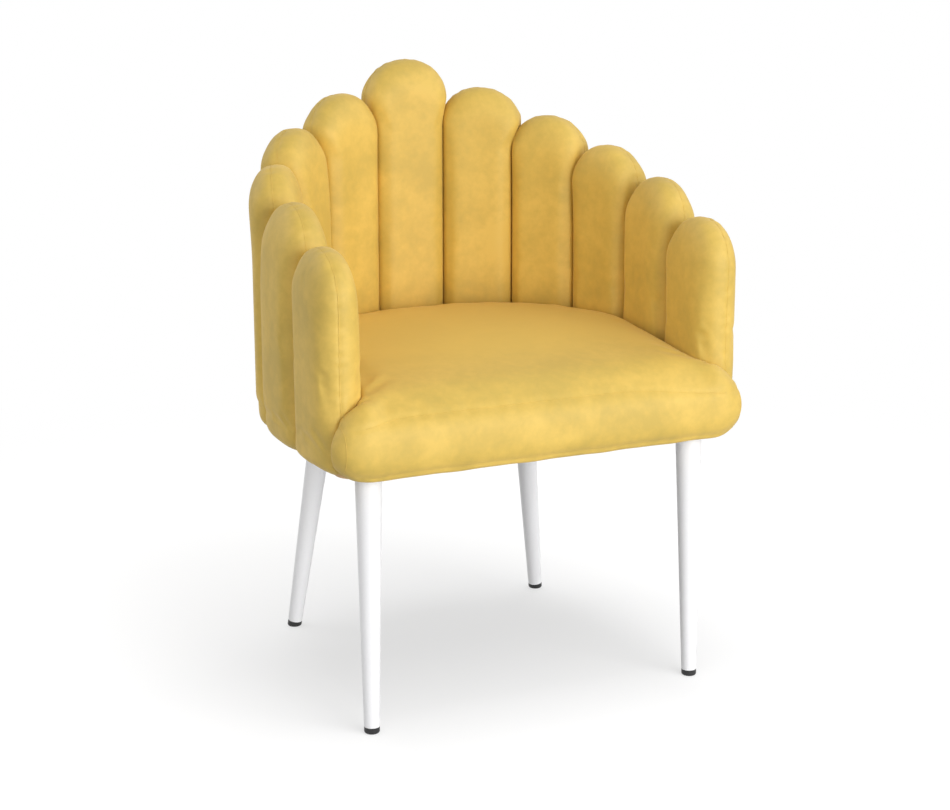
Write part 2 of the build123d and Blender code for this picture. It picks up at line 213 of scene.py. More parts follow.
@dataclass(frozen=True)
class Velvet:
    """Short-pile polyester velvet, woven and sheared.

    The upright pile is dull from straight on and pale along the edges; where it was stroked it lies in soft
    lighter and darker patches. Where the nap attribute is up, its colour is painted light: a brighter, fuller
    gold for pile brushed one way.
    """

    name: str = "mustard_velvet"
    shaded_pile: str = "#C9AA48"
    pile: str = "#D5B34D"
    stroked_pile: str = "#E1BD55"
    # painted light: a brighter, fuller gold that stands in for how light falls on the seat top's brushed pile
    brushed_pile: str = "#EAC350"
    shaded_at: float = 0.36
    stroked_at: float = 0.64
    sheen_tint: str = "#FFE4AE"
    sheen: float = 0.26
    sheen_roughness: float = 0.5
    gloss: float = 0.8
    roughness: float = 0.65
    stroke_mm: float = 90.0
    mottle_mm: float = 14.0
    mottle_share: float = 0.35
    # real pile is about 0.3 mm; drawn coarser so that it shows
    pile_mm: float = 1.3
    bump_mm: float = 0.12
    relief: float = 0.6

    def material(self) -> Material:
        """Builds the velvet.

        Returns:
            The material.
        """
        material, tree, place = new_material(self.name)
        strokes = add_noise(tree, place, self.stroke_mm, Detail=2.0, Distortion=0.6)
        mottle = add_noise(tree, place, self.mottle_mm, Detail=3.0, Roughness=0.6)
        patches = add_mix(tree, "FLOAT", self.mottle_share, strokes, mottle)
        ramp = add_node(tree, "ShaderNodeValToRGB", inputs={"Fac": patches})
        stops = ramp.color_ramp.elements
        stops[0].position = self.shaded_at
        stops[0].color = linear(self.shaded_pile)
        stops[1].position = self.stroked_at
        stops[1].color = linear(self.stroked_pile)
        stops.new((self.shaded_at + self.stroked_at) / 2).color = linear(self.pile)
        # share of painted light colour, read from the nap attribute
        nap = add_node(tree, "ShaderNodeAttribute", {"attribute_name": NAP_PAINTED_LIGHT}).outputs["Fac"]
        tufts = add_noise(tree, place, self.pile_mm, Detail=2.0, Roughness=0.7)
        shader = add_node(
            tree,
            "ShaderNodeBsdfPrincipled",
            inputs={
                "Base Color": add_mix(tree, "RGBA", nap, ramp.outputs["Color"], linear(self.brushed_pile)),
                "Roughness": self.roughness,
                "Specular IOR Level": self.gloss,
                "Sheen Weight": self.sheen,
                "Sheen Roughness": self.sheen_roughness,
                "Sheen Tint": linear(self.sheen_tint),
                "Normal": add_relief(tree, tufts, self.bump_mm, self.relief),
            },
        )
        finish_material(tree, shader)
        return material


@dataclass(frozen=True)
class Grained:
    """Plain material whose colour wavers between two tones over a grain: paint, plastic, cloth, zinc."""

    name: str
    colour: str
    other_colour: str
    roughness: float
    grain_mm: float
    grain_depth_mm: float
    stretch: Triple = (1.0, 1.0, 1.0)
    metallic: float = 0.0
    detail: float = 4.0
    relief: float = 0.5

    def material(self) -> Material:
        """Builds the grained material.

        Returns:
            The material.
        """
        material, tree, place = new_material(self.name)
        mapping = add_node(tree, "ShaderNodeMapping", inputs={"Vector": place, "Scale": self.stretch})
        grain = add_noise(tree, mapping.outputs["Vector"], self.grain_mm, Detail=self.detail)
        shader = add_node(
            tree,
            "ShaderNodeBsdfPrincipled",
            inputs={
                "Base Color": add_mix(tree, "RGBA", grain, linear(self.colour), linear(self.other_colour)),
                "Roughness": self.roughness,
                "Metallic": self.metallic,
                "Normal": add_relief(tree, grain, self.grain_depth_mm, self.relief),
            },
        )
        finish_material(tree, shader)
        return material


# white polyester powder coat, sprayed and baked: satin, with a faint orange peel
POWDER_COAT = Grained("white_powder_coat", "#FAFAFB", "#F4F4F6", 0.36, 2.2, 0.03, detail=1.0)
# black ABS, moulded: a fine matt spark
BLACK_ABS = Grained("black_moulded_abs", "#121212", "#1E1E1E", 0.45, 0.9, 0.02)
# black spun-bonded polypropylene: dull, with pressed fibre specks
SPUNBOND = Grained("black_spunbond_cloth", "#0F0F10", "#232325", 0.95, 1.6, 0.06)
# birch plywood, sawn and sanded: long pale grain
BIRCH = Grained("birch_plywood", "#C9A273", "#DDBB8C", 0.6, 3.0, 0.05, (1.0, 1.0, 0.06))
# zinc-plated steel: dull silver
ZINC = Grained("zinc_plated_steel", "#B9BBBD", "#D2D3D4", 0.35, 1.2, 0.01, metallic=1.0)
# polyurethane foam, cut open-cell
FOAM = Grained("open_cell_foam", "#E3D7AE", "#D3C492", 1.0, 1.0, 0.15)


def deselect() -> None:
    """Clears the selection, so that an operator acts on the new piece alone."""
    bpy.ops.object.select_all(action="DESELECT")


def activate(piece: Piece) -> None:
    """Makes one object the only selected and active one.

    Args:
        piece: object to act on.
    """
    deselect()
    piece.select_set(True)
    bpy.context.view_layer.objects.active = piece


def apply_modifier(piece: Piece, kind: str, **settings: object) -> None:
    """Adds a modifier, sets it and applies it.

    Args:
        piece: object to change.
        kind: modifier type name.
        settings: modifier properties by name.
    """
    activate(piece)
    modifier = piece.modifiers.new(kind.lower(), kind)
    for name, value in settings.items():
        setattr(modifier, name, value)
    bpy.ops.object.modifier_apply(modifier=modifier.name)


def select_edges(piece: Piece, wanted: Callable[[Vector, Vector], bool]) -> None:
    """Selects the edges of the edited mesh whose two end points pass a test.

    Args:
        piece: object in edit mode.
        wanted: function of two points that says whether the edge is taken.
    """
    mesh = bmesh.from_edit_mesh(piece.data)
    bpy.ops.mesh.select_mode(type="EDGE")
    bpy.ops.mesh.select_all(action="DESELECT")
    for edge in mesh.edges:
        edge.select_set(bool(wanted(edge.verts[0].co, edge.verts[1].co)))
    bmesh.update_edit_mesh(piece.data)


def rows_of(piece: Piece, name: str) -> np.ndarray:
    """Reads one vector of each of the mesh's points.

    Args:
        piece: object to read.
        name: "co" for places, "normal" for normals.

    Returns:
        Rows of x, y and z.
    """
    flat = np.zeros(len(piece.data.vertices) * 3)
    piece.data.vertices.foreach_get(name, flat)
    return flat.reshape(-1, 3)


def points_of(piece: Piece) -> np.ndarray:
    """The mesh's points as rows of x, y and z."""
    return rows_of(piece, "co")


def set_points(piece: Piece, points: np.ndarray) -> None:
    """Moves the mesh's points to the given rows."""
    piece.data.vertices.foreach_set("co", np.ascontiguousarray(points, dtype=np.float64).ravel())
    piece.data.update()


def normals_of(piece: Piece) -> np.ndarray:
    """The mesh's point normals as rows."""
    return rows_of(piece, "normal")


def smooth_step(value: np.ndarray, low: float, high: float) -> np.ndarray:
    """Rises smoothly from 0 at low to 1 at high."""
    share = np.clip((value - low) / (high - low), 0.0, 1.0)
    return share * share * (3 - 2 * share)


def squeeze(reach: np.ndarray, limit: np.ndarray, softness: float) -> np.ndarray:
    """Holds distances under a limit, with a soft bend where they meet it."""
    return limit - softness * np.logaddexp(0.0, (limit - reach) / softness)


def lay_ridge(piece: Piece, rays: list[tuple[Vector, Vector]], radius: float) -> Piece:
    """Lays the thin ridge of a sewn seam where rays from inside leave the cloth.

    Args:
        piece: closed cushion.
        rays: start and direction of each ray, in order along the seam.
        radius: half the ridge's thickness.

    Returns:
        The ridge as a thin tube.
    """
    mesh = piece.data
    surface = BVHTree.FromPolygons([v.co for v in mesh.vertices], [tuple(p.vertices) for p in mesh.polygons])
    hits = [surface.ray_cast(origin, direction)[0] for origin, direction in rays]
    path = [hit for hit in hits if hit is not None]
    curve = bpy.data.curves.new("seam", "CURVE")
    curve.dimensions = "3D"
    curve.bevel_depth = radius
    curve.bevel_resolution = 2
    spline = curve.splines.new("POLY")
    spline.points.add(len(path) - 1)
    for point, place in zip(spline.points, path):
        point.co = (*place, 1.0)
    ridge = bpy.data.objects.new("seam", curve)
    bpy.context.scene.collection.objects.link(ridge)
    activate(ridge)
    bpy.ops.object.convert(target="MESH")
    return bpy.context.object


def join(piece: Piece, *others: Piece) -> None:
    """Joins other objects into the first one.

    Args:
        piece: object that takes the others in.
        others: objects that become part of it.
    """
    activate(piece)
    for other in others:
        other.select_set(True)
    bpy.ops.object.join()


def finish_piece(piece: Piece, name: str, material: Material) -> None:
    """Names a finished piece, gives it its material and shades it smooth.

    Args:
        piece: modelled piece.
        name: its name.
        material: its material.
    """
    piece.name = name
    piece.data.materials.clear()
    piece.data.materials.append(material)
    activate(piece)
    bpy.ops.object.shade_smooth()


@dataclass(frozen=True)
class Stuffing:
    """How a padded piece is filled: air pressure on the cloth, and the furthest that a point may move."""

    furthest: float
    voxel: float = 0.006
    smoothing: int = 4
    pressure: float = 4.0
    frames: int = 20
    quality: int = 6
    mass: float = 0.2
    stretch_stiffness: float = 12.0
    shear_stiffness: float = 6.0
    bend_stiffness: float = 1.5

    def cover(self, piece: Piece) -> None:
        """Covers a carved block with small even faces."""
        apply_modifier(piece, "REMESH", mode="VOXEL", voxel_size=self.voxel, use_smooth_shade=True)

    def relax(self, piece: Piece) -> None:
        """Takes the creases out of a shaped block."""
        apply_modifier(piece, "SMOOTH", factor=0.5, iterations=self.smoothing)

    @staticmethod
    def refine(piece: Piece) -> None:
        """Rounds the faces of a swollen piece off."""
        apply_modifier(piece, "SUBSURF", levels=1, render_levels=1)

    def swell(self, piece: Piece, held: np.ndarray) -> None:
        """Blows the cloth up with a simulation and leaves the result in the mesh.

        Args:
            piece: closed mesh to swell.
            held: weight of 1 for each point that stays where it is, else 0.
        """
        rest = points_of(piece)
        activate(piece)
        group_name = "held"
        group = piece.vertex_groups.new(name=group_name)
        group.add([int(i) for i in np.nonzero(held > 0.5)[0]], 1.0, "REPLACE")
        cloth = piece.modifiers.new("swell", "CLOTH")
        cloth.settings.quality = self.quality
        cloth.settings.mass = self.mass
        cloth.settings.tension_stiffness = self.stretch_stiffness
        cloth.settings.compression_stiffness = self.stretch_stiffness
        cloth.settings.shear_stiffness = self.shear_stiffness
        cloth.settings.bending_stiffness = self.bend_stiffness
        cloth.settings.use_pressure = True
        cloth.settings.uniform_pressure_force = self.pressure
        cloth.settings.effector_weights.gravity = 0.0
        cloth.settings.vertex_group_mass = group_name
        cloth.collision_settings.use_collision = False
        cloth.point_cache.frame_start = 1
        cloth.point_cache.frame_end = self.frames
        for number in range(1, self.frames + 1):
            bpy.context.scene.frame_set(number)
        bpy.ops.object.modifier_apply(modifier=cloth.name)
        piece.vertex_groups.remove(piece.vertex_groups[group_name])
        moved = points_of(piece) - rest
        length = np.linalg.norm(moved, axis=1, keepdims=True)
        share = np.minimum(1.0, self.furthest / np.maximum(length, 1e-9))
        set_points(piece, rest + moved * share)
        bpy.context.scene.frame_set(1)


@dataclass(frozen=True)
class PetalLine:
    """The U that the middles of the petals stand on: a half circle with straight arms."""

    radius: float
    centre_y: float

    @classmethod
    def from_frame(cls) -> "PetalLine":
        """Reads the line off the front arm petal and the middle petal.

        Returns:
            The petals' line.
        """
        low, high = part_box(ARM_COVER)
        back_low, back_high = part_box("petal_cover_centre")
        radius = (low.x + high.x) / 2
        return cls(radius, (back_low.y + back_high.y) / 2 - radius)

    @property
    def quarter(self) -> float:
        """Length of a quarter of the circle."""
        return self.radius * math.pi / 2

    def bend(self, points: np.ndarray, middle: float) -> np.ndarray:
        """Bends an upright shape round the line.

        Args:
            points: rows of x along the line, y outwards and z up.
            middle: distance of x = 0 along the line from the middle of the back, to the right.

        Returns:
            The rows in the chair's own frame.
        """
        s = middle + points[:, 0]
        turn = np.minimum(s, self.quarter) / self.radius
        reach = self.radius + points[:, 1]
        x = reach * np.sin(turn)
        y = self.centre_y + reach * np.cos(turn) - np.maximum(s - self.quarter, 0.0)
        return np.stack([x, y, points[:, 2]], axis=1)


@dataclass
class Petal:
    """One upright velvet cushion of the back or an arm, modelled upright and then set on the line.

    While it is modelled, x runs along the line, y outwards and z up.
    """

    index: int
    line: PetalLine
    stuffing: Stuffing
    # one value for each petal, from the middle of the back to the front of the arm
    widths: PerPetal = (0.1139, 0.1109, 0.1058, 0.1079, 0.1200, 0.1260)
    bulges: PerPetal = (0.0, 0.0, 0.008, 0.007, 0.004, 0.0005)
    spreads: PerPetal = (0.009, 0.012, 0.007, 0.002, 0.004, 0.002)
    left_leans: PerPetal = (0.0, 0.0, 0.007, 0.005, -0.004, 0.002)
    right_leans: PerPetal = (0.0, 0.0, -0.001, -0.004, 0.002, 0.0)
    corner_rounds: PerPetal = (0.030, 0.030, 0.030, 0.030, 0.030, 0.014)
    edge_round: float = 0.022
    edge_share: float = 0.96
    dome_share: float = 0.998
    dome_steps: int = 14
    corner_steps: int = 6
    edge_steps: int = 7
    squareness: float = 4.0
    free_squareness: float = 2.7
    dome_section: float = 2.6
    dome_squareness: float = 2.1
    dome_blend: float = 0.7
    pressed: float = 0.004
    press_round: float = 0.001
    slack: float = 0.010
    shoulder: float = 0.038
    free_fade: Pair = (-0.020, 0.030)
    lean_height: float = 0.140
    hang: float = 0.004
    foot: float = 0.030
    roll_under: float = 0.020
    roll_height: float = 0.120
    sewn_gap: float = 0.0002
    seam_depth: float = 0.006
    seam_radius: float = 0.0005
    seam_step: float = 0.004
    seam_dip: float = 0.0009
    seam_dip_reach: float = 0.003
    dome_rays: int = 40
    pucker: float = 0.0004
    pucker_reach: float = 0.008
    pucker_pitch: float = 0.021
    waver: float = 0.35
    waver_rate: float = 37.0
    fine_share: float = 0.6
    fine_pitch: float = 0.61
    fine_turn: float = 2.1

    def __post_init__(self) -> None:
        """Takes the petal's place and size from the frame."""
        low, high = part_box(self.node("cover", Side.RIGHT))
        self.top = high.z
        self.bottom = low.z - self.hang
        front_low, front_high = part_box(ARM_COVER)
        self.bulge = self.bulges[self.index]
        self.spread = self.spreads[self.index]
        self.corner_round = self.corner_rounds[self.index]
        self.thickness = front_high.x - front_low.x
        before = self.widths[0] / 2 + sum(self.widths[1 : self.index])
        start = -self.widths[0] / 2 if self.index == 0 else before
        self.width = self.widths[self.index]
        self.middle = start + self.width / 2
        if self.index < LAST_PETAL:
            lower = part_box(f"petal_cover_right_{self.index + 1}")[1].z
        else:
            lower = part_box("seat_cover")[1].z
        self.free_above = lower - self.shoulder

    def node(self, kind: str, side: Side) -> str:
        """Name of one of the petal's CAD nodes."""
        return f"petal_{kind}_centre" if self.index == 0 else f"petal_{kind}_{side.word}_{self.index}"

    def carve(self) -> Piece:
        """Cuts the petal from a block: round top, rounded lower corners, soft rims.

        Returns:
            The carved block.
        """
        half = self.width / 2 + self.pressed
        deep = self.thickness / 2
        high = (self.top + self.bottom) / 2
        deselect()
        bpy.ops.mesh.primitive_cube_add(size=1.0, location=(0.0, 0.0, high))
        piece = bpy.context.object
        piece.scale = (2 * half, 2 * deep, self.top - self.bottom)
        bpy.ops.object.transform_apply(location=True, rotation=False, scale=True)
        bpy.ops.object.mode_set(mode="EDIT")
        select_edges(piece, lambda a, b: min(a.z, b.z) > high and abs(a.y - b.y) > deep)
        bpy.ops.mesh.bevel(offset=half * self.dome_share, segments=self.dome_steps, affect="EDGES")
        select_edges(piece, lambda a, b: max(a.z, b.z) < self.bottom + TINY and abs(a.y - b.y) > deep)
        bpy.ops.mesh.bevel(offset=self.corner_round, segments=self.corner_steps, affect="EDGES")
        select_edges(piece, lambda a, b: abs(a.y - b.y) < TINY and abs(a.y) > deep - TINY)
        edge_round = min(self.edge_round, deep * self.edge_share)
        bpy.ops.mesh.bevel(offset=edge_round, segments=self.edge_steps, affect="EDGES")
        bpy.ops.object.mode_set(mode="OBJECT")
        return piece

    def freedom(self, points: np.ndarray) -> np.ndarray:
        """Says which points stand clear above the next lower petal.

        Args:
            points: rows of an upright petal.

        Returns:
            A share from 0 to 1 for each point.
        """
        low, high = self.free_fade
        above = smooth_step(points[:, 2], self.free_above + low, self.free_above + high)
        return above if self.index == 0 else np.where(points[:, 0] > 0, above, 0.0)

    def plump(self, piece: Piece) -> None:
        """Draws the block's section into a full, rounded one, from rim to rim.

        Args:
            piece: remeshed block.
        """
        points = points_of(piece)
        half = self.width / 2 + self.pressed
        spring = self.top - half
        foot = self.bottom + self.corner_round
        rise = np.maximum(points[:, 2] - spring, 0.0) / half
        drop = np.maximum(foot - points[:, 2], 0.0) / self.corner_round
        q = self.dome_squareness
        wide = half + (self.spread - self.pressed) * self.freedom(points)
        points[:, 0] *= wide / half
        across = ((np.abs(points[:, 0]) / wide) ** q + rise**q) ** (1 / q)
        deep = np.abs(points[:, 1]) / (self.thickness / 2)
        free = (points[:, 0] > 0) & (self.index == LAST_PETAL)
        p = np.where(free, self.free_squareness, self.squareness)
        p = p + (self.dome_section - p) * smooth_step(rise, 0.0, self.dome_blend)
        scale = (across**p + deep**p + drop**p) ** (-1 / p)
        points[:, 0] *= scale
        points[:, 1] *= scale
        points[:, 2] = np.where(rise > 0, spring + rise * half * scale, points[:, 2])
        points[:, 2] = np.where(drop > 0, foot - drop * self.corner_round * scale, points[:, 2])
        set_points(piece, points)

    def stuff(self, piece: Piece) -> None:
        """Swells the carved block and presses it back between its neighbours.

        Args:
            piece: carved block.
        """
        self.stuffing.cover(piece)
        self.plump(piece)
        self.stuffing.relax(piece)
        self.stuffing.swell(piece, (points_of(piece)[:, 2] < self.bottom + self.foot).astype(float))
        points = points_of(piece)
        limit = self.width / 2 - self.sewn_gap + (self.spread + self.slack) * self.freedom(points)
        squeezed = squeeze(np.abs(points[:, 0]), limit, self.press_round)
        points[:, 0] = np.sign(points[:, 0]) * np.maximum(squeezed, 0.0)
        points[:, 1] *= self.thickness / 2 / np.abs(points[:, 1]).max()
        points[:, 2] += (self.top - points[:, 2].max()) * smooth_step(points[:, 2], self.bottom, self.top)
        lift = self.roll_under * (points[:, 1] / self.thickness + 0.5)
        points[:, 2] += lift * (1 - smooth_step(points[:, 2], self.bottom, self.bottom + self.roll_height))
        set_points(piece, points)
        self.stuffing.refine(piece)

    def along_outline(self, points: np.ndarray) -> np.ndarray:
        """Measures how far each point is round the petal's outline, from the top downwards on each side.

        Args:
            points: rows of an upright petal.

        Returns:
            The distances.
        """
        spring = self.top - self.width / 2
        turn = np.arctan2(np.abs(points[:, 0]), np.maximum(points[:, 2] - spring, 1e-9))
        return np.where(
            points[:, 2] > spring,
            turn * self.width / 2,
            self.width * math.pi / 4 + spring - points[:, 2],
        )

    def pucker_seam(self, piece: Piece) -> None:
        """Draws the cloth into small puckers beside the seam.

        Args:
            piece: swollen petal.
        """
        points = points_of(piece)
        away = np.abs(points[:, 1] - self.seam_depth)
        s = self.along_outline(points)
        sign = np.sign(points[:, 0])
        waver = self.waver * np.sin(s * self.waver_rate + self.index + sign)
        wave = np.sin(2 * math.pi * (s / self.pucker_pitch + waver))
        fine = 2 * math.pi * s / (self.pucker_pitch * self.fine_pitch)
        wave += self.fine_share * np.sin(fine + self.fine_turn * self.index)
        near = np.exp(-((away / self.pucker_reach) ** 2))
        dip = self.seam_dip * np.exp(-((away / self.seam_dip_reach) ** 2))
        set_points(piece, points + normals_of(piece) * (near * self.pucker * wave - dip)[:, None])

    def seam(self, piece: Piece) -> Piece:
        """Lays the ridge of the sewn seam on the cloth.

        Args:
            piece: puckered petal.

        Returns:
            The ridge as a thin tube.
        """
        spring = self.top - self.width / 2
        foot = self.bottom + self.foot
        count = int((spring - foot) / self.seam_step)
        levels = [foot + k * self.seam_step for k in range(count)]
        depth = self.seam_depth
        rays = [(Vector((0, depth, z)), Vector((-1, 0, 0))) for z in levels]
        for k in range(self.dome_rays + 1):
            turn = math.pi * k / self.dome_rays
            rays.append((Vector((0, depth, spring)), Vector((-math.cos(turn), 0, math.sin(turn)))))
        rays += [(Vector((0, depth, z)), Vector((1, 0, 0))) for z in reversed(levels)]
        return lay_ridge(piece, rays, self.seam_radius)

    def stand(self, piece: Piece) -> None:
        """Fills out the petal's back below its dome and bends it round the line.

        Args:
            piece: upright petal.
        """
        points = points_of(piece)
        spring = self.top - self.width / 2
        rise = np.clip((points[:, 2] - spring) / (self.width / 2), 0.0, 1.0)
        full = np.sqrt(1 - rise**2)
        points[:, 1] += np.maximum(points[:, 1], 0.0) * full * self.bulge / (self.thickness / 2)
        set_points(piece, self.line.bend(points, self.middle))

    def lean(self, piece: Piece, side: Side) -> None:
        """Leans the dome outwards by the petal's own small amount.

        Args:
            piece: petal in place.
            side: half of the chair it stands on.
        """
        amount = (self.left_leans if side is Side.LEFT else self.right_leans)[self.index]
        points = points_of(piece)
        turn = min(self.middle, self.line.quarter) / self.line.radius
        share = amount * smooth_step(points[:, 2], self.top - self.lean_height, self.top)
        points[:, 0] += side.value * math.sin(turn) * share
        points[:, 1] += math.cos(turn) * share
        set_points(piece, points)

    def mirrored(self, piece: Piece) -> Piece:
        """The left-hand copy of a right-hand petal, with its own mesh.

        Args:
            piece: right-hand petal in place.

        Returns:
            The left-hand petal.
        """
        activate(piece)
        bpy.ops.object.duplicate()
        other = bpy.context.object
        other.data.transform(Matrix.Scale(-1.0, 4, (1.0, 0.0, 0.0)))
        other.data.flip_normals()
        return other

    def dress(self, piece: Piece, side: Side, velvet: Material) -> None:
        """Names the finished petal, gives it its velvet and ties it to the frame.

        Args:
            piece: petal in place.
            side: half of the chair it stands on.
            velvet: its material.
        """
        self.lean(piece, side)
        finish_piece(piece, self.node("cushion", side), velvet)
        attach(piece, BODY)
        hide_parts(self.node("cover", side), self.node("foam", side))
        LOG.info("petal %s: %d faces", piece.name, len(piece.data.polygons))

    def build(self, velvet: Material) -> None:
        """Makes the petal, and its mirror image unless it is the middle one.

        Args:
            velvet: the cushions' material.
        """
        piece = self.carve()
        self.stuff(piece)
        self.pucker_seam(piece)
        join(piece, self.seam(piece))
        self.stand(piece)
        if self.index > 0:
            self.dress(self.mirrored(piece), Side.LEFT, velvet)
        self.dress(piece, Side.RIGHT, velvet)


@dataclass(frozen=True)
class Ripple:
    """Two waves of unlike pitch, so that the cloth's ripple doesn't repeat in sight."""

    first: float
    second: float
    share: float
    shift: float

    def at(self, x: np.ndarray) -> np.ndarray:
        """Height of the ripple at each place."""
        return np.sin(x * self.first) + self.share * np.sin(x * self.second + self.shift)


@dataclass
class Seat:
    """The crowned seat pad with its full-width rolled nose."""

    line: PetalLine
    stuffing: Stuffing
    gap: float = 0.0012
    facets: int = 96
    flat_below: float = 0.012
    crown_radius: float = 2.2
    crown_y: float = 0.070
    crown_rise: float = 0.004
    edge_sink: float = 0.004
    rim: float = 0.012
    rim_depth: float = 0.7
    rim_fade: Pair = (0.030, 0.140)
    nose_round: float = 0.018
    nose_steps: int = 8
    nose_middle: float = 0.402
    roll: float = 0.090
    roll_under: float = 0.045
    squareness: float = 2.8
    end_roll: float = 0.055
    end_fade: Pair = (-0.013, 0.017)
    end_squareness: float = 1.75
    end_squareness_below: float = 2.2
    end_blend: float = 0.3
    arm_middle: float = -0.1656
    arm_half: float = 0.063
    arm_squareness: float = 2.7
    arm_start: float = 0.003
    arm_blend: float = 0.030
    overfill: float = 0.007
    press_round: float = 0.001
    fit_inside: float = 0.040
    fit_height: float = 0.050
    held_pad: float = 0.012
    held_nose: float = 0.006
    hem_wave: float = 0.0004
    hem_height: float = 0.030
    hem_ripple: Ripple = Ripple(61.0, 117.0, 0.6, 1.3)
    seam_height: float = 0.444
    seam_sag: float = 0.016
    right_sag: Pair = (0.10, 0.28)
    left_sag: Pair = (0.20, 0.29)
    left_sag_share: float = 0.6
    seam_radius: float = 0.0005
    seam_end: float = 0.012
    seam_rays: int = 120
    seam_dip: float = 0.0011
    seam_dip_reach: float = 0.004
    seam_wave: float = 0.0003
    seam_wave_reach: float = 0.012
    seam_ripple: Ripple = Ripple(173.0, 281.0, 1.0, 0.7)
    gusset: float = 0.014
    gusset_inside: float = 0.012
    gusset_start: float = 75.0
    gusset_turn: float = 200.0
    gusset_rays: int = 60
    # largest share of painted light colour on the top panel; it fades in over nap_reach behind the front and
    # over nap_fade at the seams
    nap: float = 0.85
    nap_fade: float = 0.004
    nap_reach: float = 0.20

    def __post_init__(self) -> None:
        """Takes the seat's sizes from the frame."""
        low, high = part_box("seat_cover")
        front_low, front_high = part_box(ARM_COVER)
        self.edge = front_low.x - self.gap
        self.arm_deep = (front_high.x - front_low.x) / 2
        self.nose_half = high.x
        self.front = low.y
        self.nose_back = front_low.y - self.gap
        self.bottom = low.z
        self.pad_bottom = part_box("seat_board")[1].z
        self.top = high.z
        self.reach = self.nose_half - self.gusset
        self.seam_back = self.front + self.roll / 2

    def carve(self) -> Piece:
        """Cuts the pad from a half cylinder, drawn forward and widened into the nose.

        Returns:
            The carved seat.
        """
        flat_top = self.top - self.flat_below
        deselect()
        bpy.ops.mesh.primitive_cylinder_add(
            vertices=self.facets,
            radius=self.edge + self.overfill,
            depth=flat_top - self.pad_bottom,
            location=(0.0, self.line.centre_y, (flat_top + self.pad_bottom) / 2),
        )
        piece = bpy.context.object
        bpy.ops.object.transform_apply(location=True, rotation=False, scale=False)
        bpy.ops.object.mode_set(mode="EDIT")
        bpy.ops.mesh.select_all(action="SELECT")
        bpy.ops.mesh.bisect(
            plane_co=(0.0, self.line.centre_y, 0.0), plane_no=(0.0, 1.0, 0.0), use_fill=True, clear_inner=True
        )
        self.select_faces(piece, lambda f: f.normal.y < -FACING)
        self.pull(0.0, self.nose_back - self.line.centre_y, 0.0)
        self.pull(0.0, 0.0, 0.0)
        bpy.ops.transform.resize(value=(self.nose_half / (self.edge + self.overfill), 1.0, 1.0))
        self.pull(0.0, self.front - self.nose_back, 0.0)
        ahead = self.nose_back - TINY
        self.select_faces(piece, lambda f: f.normal.z < -FACING and f.calc_center_median().y < ahead)
        self.pull(0.0, 0.0, self.bottom - self.pad_bottom)
        bpy.ops.mesh.select_all(action="SELECT")
        bpy.ops.mesh.remove_doubles(threshold=1e-5)
        bpy.ops.mesh.normals_make_consistent(inside=False)
        front = self.front + TINY
        select_edges(piece, lambda a, b: a.y < front and b.y < front)
        bpy.ops.mesh.bevel(offset=self.nose_round, segments=self.nose_steps, affect="EDGES")
        bpy.ops.object.mode_set(mode="OBJECT")
        return piece

    @staticmethod
    def select_faces(piece: Piece, wanted: Callable[[bmesh.types.BMFace], bool]) -> None:
        """Selects the faces of the edited mesh that pass a test.

        Args:
            piece: object in edit mode.
            wanted: function of a face that says whether it is taken.
        """
        bpy.ops.mesh.select_mode(type="FACE")
        bpy.ops.mesh.select_all(action="DESELECT")
        mesh = bmesh.from_edit_mesh(piece.data)
        mesh.normal_update()
        for face in mesh.faces:
            face.select_set(bool(wanted(face)))
        bmesh.update_edit_mesh(piece.data)

    @staticmethod
    def pull(x: float, y: float, z: float) -> None:
        """Extrudes the selected faces by a step."""
        bpy.ops.mesh.extrude_region_move(TRANSFORM_OT_translate={"value": (x, y, z)})

    def beside_arm(self, y: np.ndarray) -> np.ndarray:
        """How far the front petals' rounded inner corners draw back from the seat at each place y."""
        ahead = np.clip((self.arm_middle - y) / self.arm_half, 0.0, 1.0)
        return self.arm_deep * (1 - (1 - ahead**self.arm_squareness) ** (1 / self.arm_squareness))

    def crown(self, piece: Piece) -> None:
        """Raises the flat top into a crown and rolls the nose and its ends.

        Args:
            piece: remeshed seat.
        """
        points = points_of(piece)
        x, y, z = points[:, 0], points[:, 1], points[:, 2]
        flat_top = z.max()
        block = self.edge + self.overfill
        beside = self.beside_arm(y) * smooth_step(np.abs(x), block - self.arm_blend, block)
        x += np.sign(x) * np.where(y > self.nose_back - self.arm_start, beside, 0.0)
        radial = np.hypot(x, np.maximum(y - self.line.centre_y, 0.0))
        middle_share = np.maximum(1 - (radial / self.edge) ** 2, 0.0)
        middle_share *= smooth_step(y, self.front, self.line.centre_y)
        crown = self.top - self.edge_sink + self.crown_rise * middle_share
        crown = crown - (y - self.crown_y) ** 2 / (2 * self.crown_radius)
        rim = np.clip((radial - (block - self.rim)) / self.rim, 0.0, 1.0)
        sink = self.rim_depth * self.rim * (1 - np.sqrt(np.maximum(1 - rim**2, 0.0)))
        crown = crown - sink * smooth_step(y, *(self.nose_back + fade for fade in self.rim_fade))
        z += smooth_step(z, self.pad_bottom, flat_top) * (crown - flat_top)
        middle = self.nose_middle
        tall = np.where(z > middle, (z - middle) / (crown - middle), (z - middle) / (middle - self.bottom))
        depth = self.nose_back - self.front
        near_end = smooth_step(np.abs(x), *(self.edge + fade for fade in self.end_fade))
        roll = np.where(tall > 0, self.roll, self.roll_under)
        roll = roll + (depth - roll) * near_end
        fore = np.maximum(self.front + roll - y, 0.0) / roll
        end = np.maximum(np.abs(x) - (self.nose_half - self.end_roll), 0.0) / self.end_roll
        p = self.squareness
        above = smooth_step(tall, -self.end_blend, self.end_blend)
        q = self.end_squareness_below + (self.end_squareness - self.end_squareness_below) * above
        around = (np.abs(tall) ** q + end**q) ** (1 / q)
